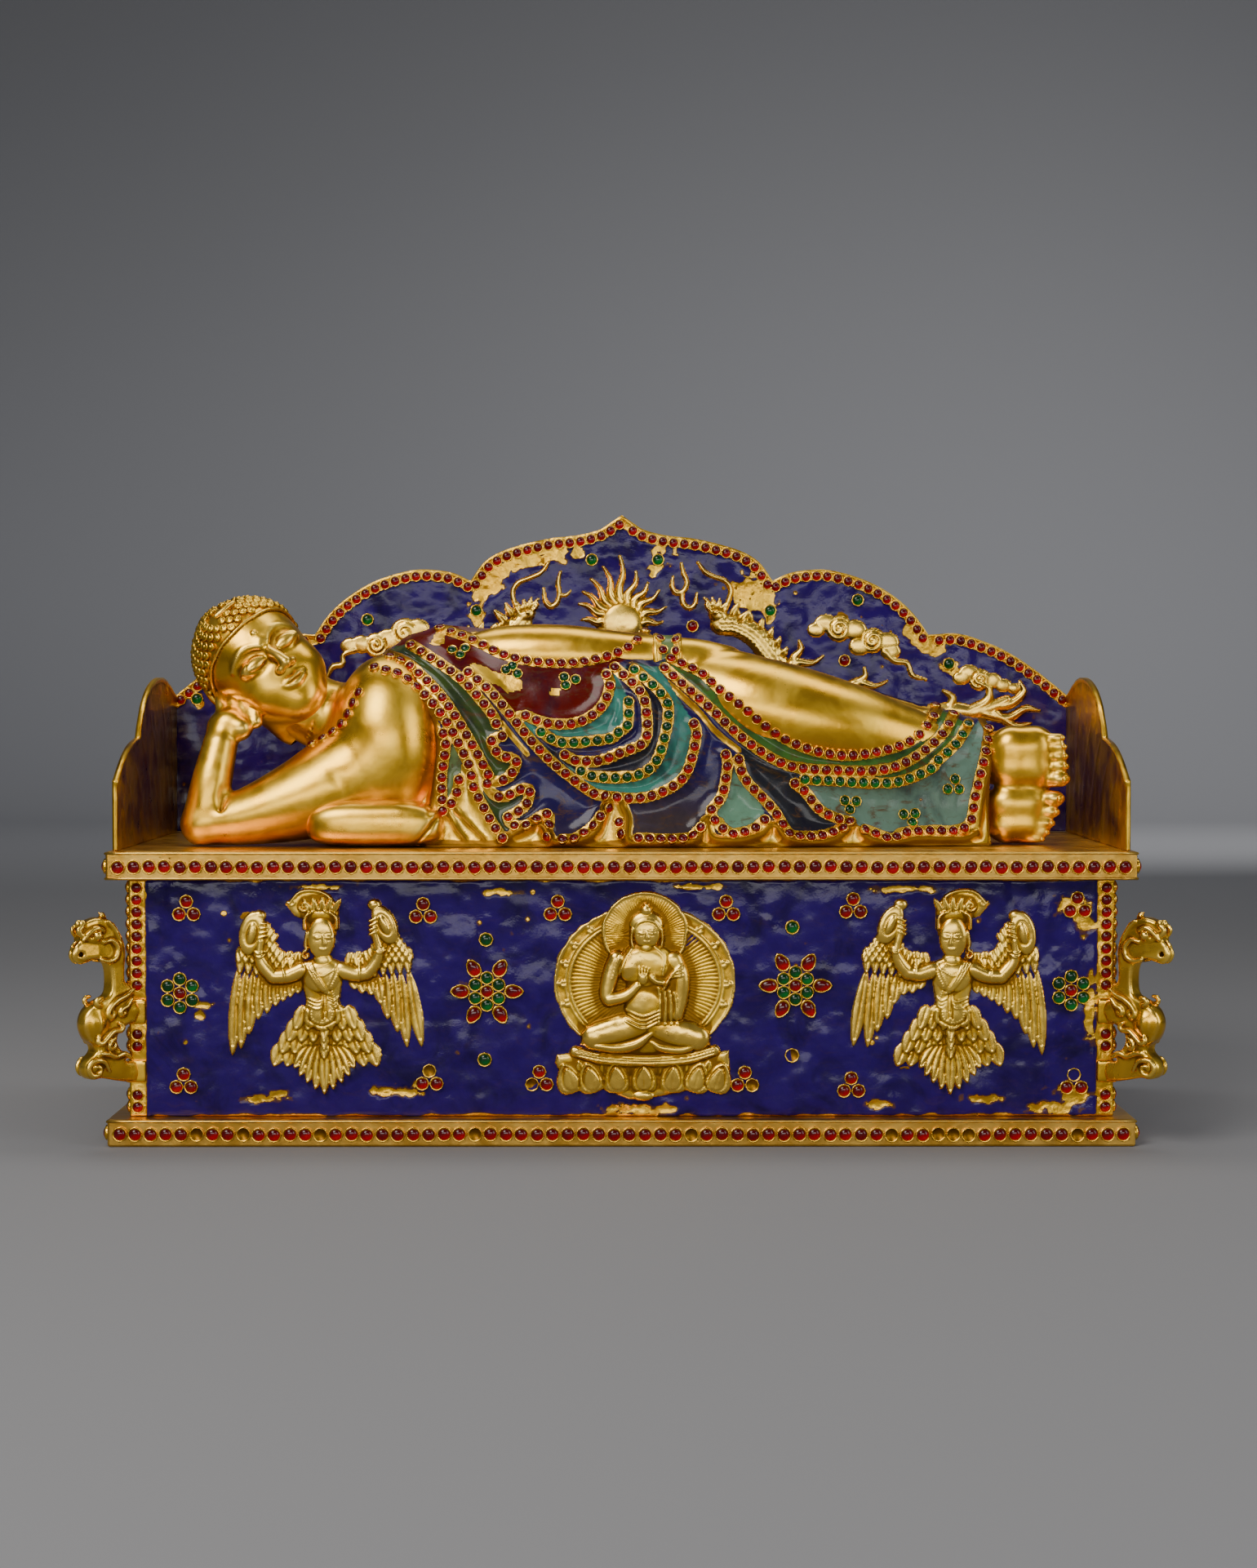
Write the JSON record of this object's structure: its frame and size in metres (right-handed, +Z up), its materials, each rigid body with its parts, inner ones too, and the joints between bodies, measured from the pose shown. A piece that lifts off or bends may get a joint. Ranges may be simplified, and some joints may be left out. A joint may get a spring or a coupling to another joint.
{
  "type": "gilt bronze buddha statue",
  "caption": "Reclining gilt Buddha in an enamelled, jewelled robe on a cobalt enamel couch with a lobed back screen, chased relief figures in front and dragon brackets at the corners.",
  "frame": {"origin": "centre of the base plate's underside", "axes": "+X runs from the head end to the foot end, +Y points to the back screen, +Z is up; the front faces -Y"},
  "size_m": [0.5326, 0.2166, 0.3181],
  "materials": {
    "gilt_bronze": "fire-gilt bronze, polished on the raised forms, with warm brown patina in the recesses",
    "cobalt_enamel": "glossy cobalt enamel over gilt bronze, worn through in patches"
  },
  "bodies": {
    "root": {"base_plate": "gilt_bronze", "couch_top": "gilt_bronze", "end_panel_left": "gilt_bronze", "end_panel_right": "gilt_bronze", "reclining_buddha": "gilt_bronze", "corner_dragon_front_left": "gilt_bronze", "corner_dragon_front_right": "gilt_bronze", "corner_dragon_rear_left": "gilt_bronze", "corner_dragon_rear_right": "gilt_bronze", "casing": "cobalt_enamel", "back_screen": "cobalt_enamel"}
  },
  "joints": []
}
